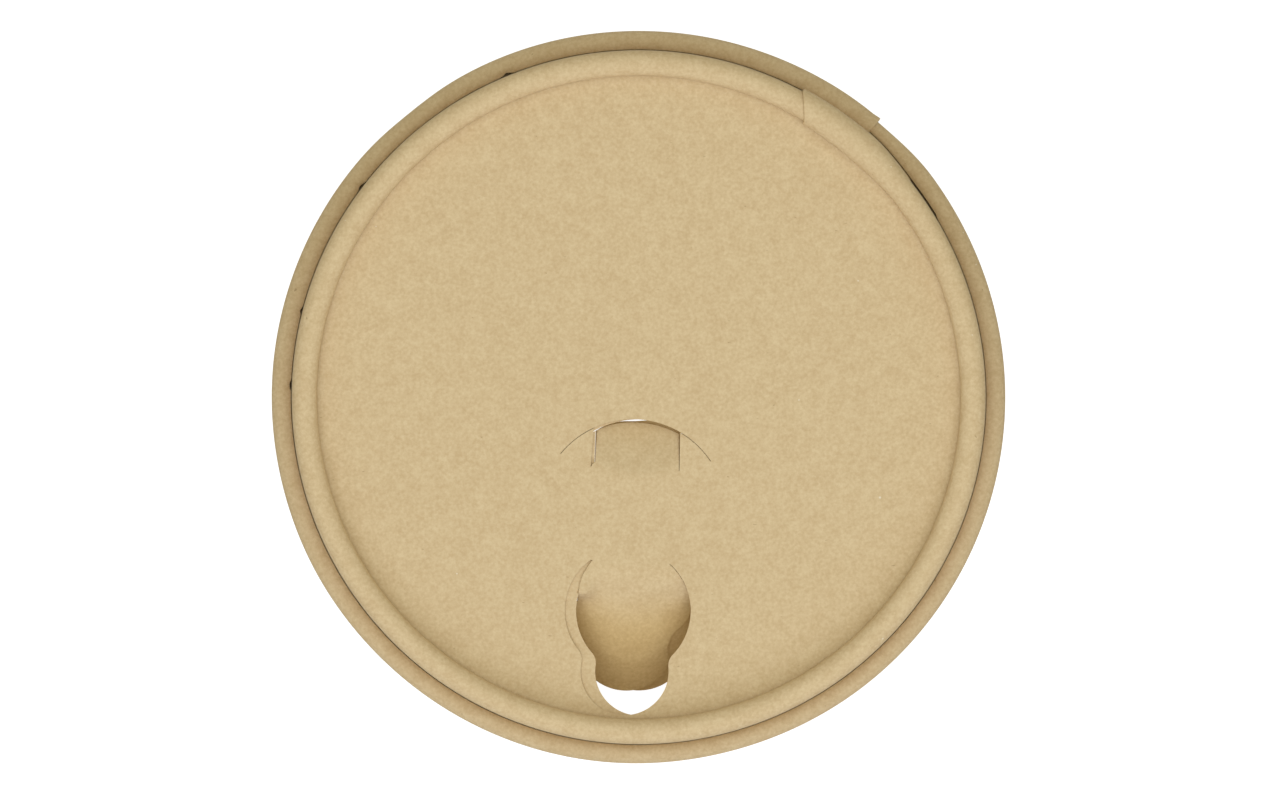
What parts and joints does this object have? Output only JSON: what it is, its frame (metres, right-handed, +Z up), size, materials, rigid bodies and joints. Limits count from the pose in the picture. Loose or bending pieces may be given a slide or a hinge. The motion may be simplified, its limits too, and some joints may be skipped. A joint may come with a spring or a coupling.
{
  "type": "coffee cup lid",
  "caption": "Round kraft board lid for a takeaway cup: a rolled side wall around dished discs, with a push-in sip flap and a slit that locks the folded flap.",
  "frame": {"origin": "centre of the lid's base, on the surface that the bottom bead stands on", "axes": "+Z up through the lid, -Y toward the sip flap, +X to the right as seen from above with the sip flap nearest"},
  "size_m": [0.095, 0.095, 0.0159],
  "materials": {
    "kraft_board": "matt uncoated kraft board, light brown, with fine fibres and specks"
  },
  "bodies": {
    "root": {"side_wall": "kraft_board", "top_disc": "kraft_board", "under_disc": "kraft_board"}
  },
  "joints": []
}
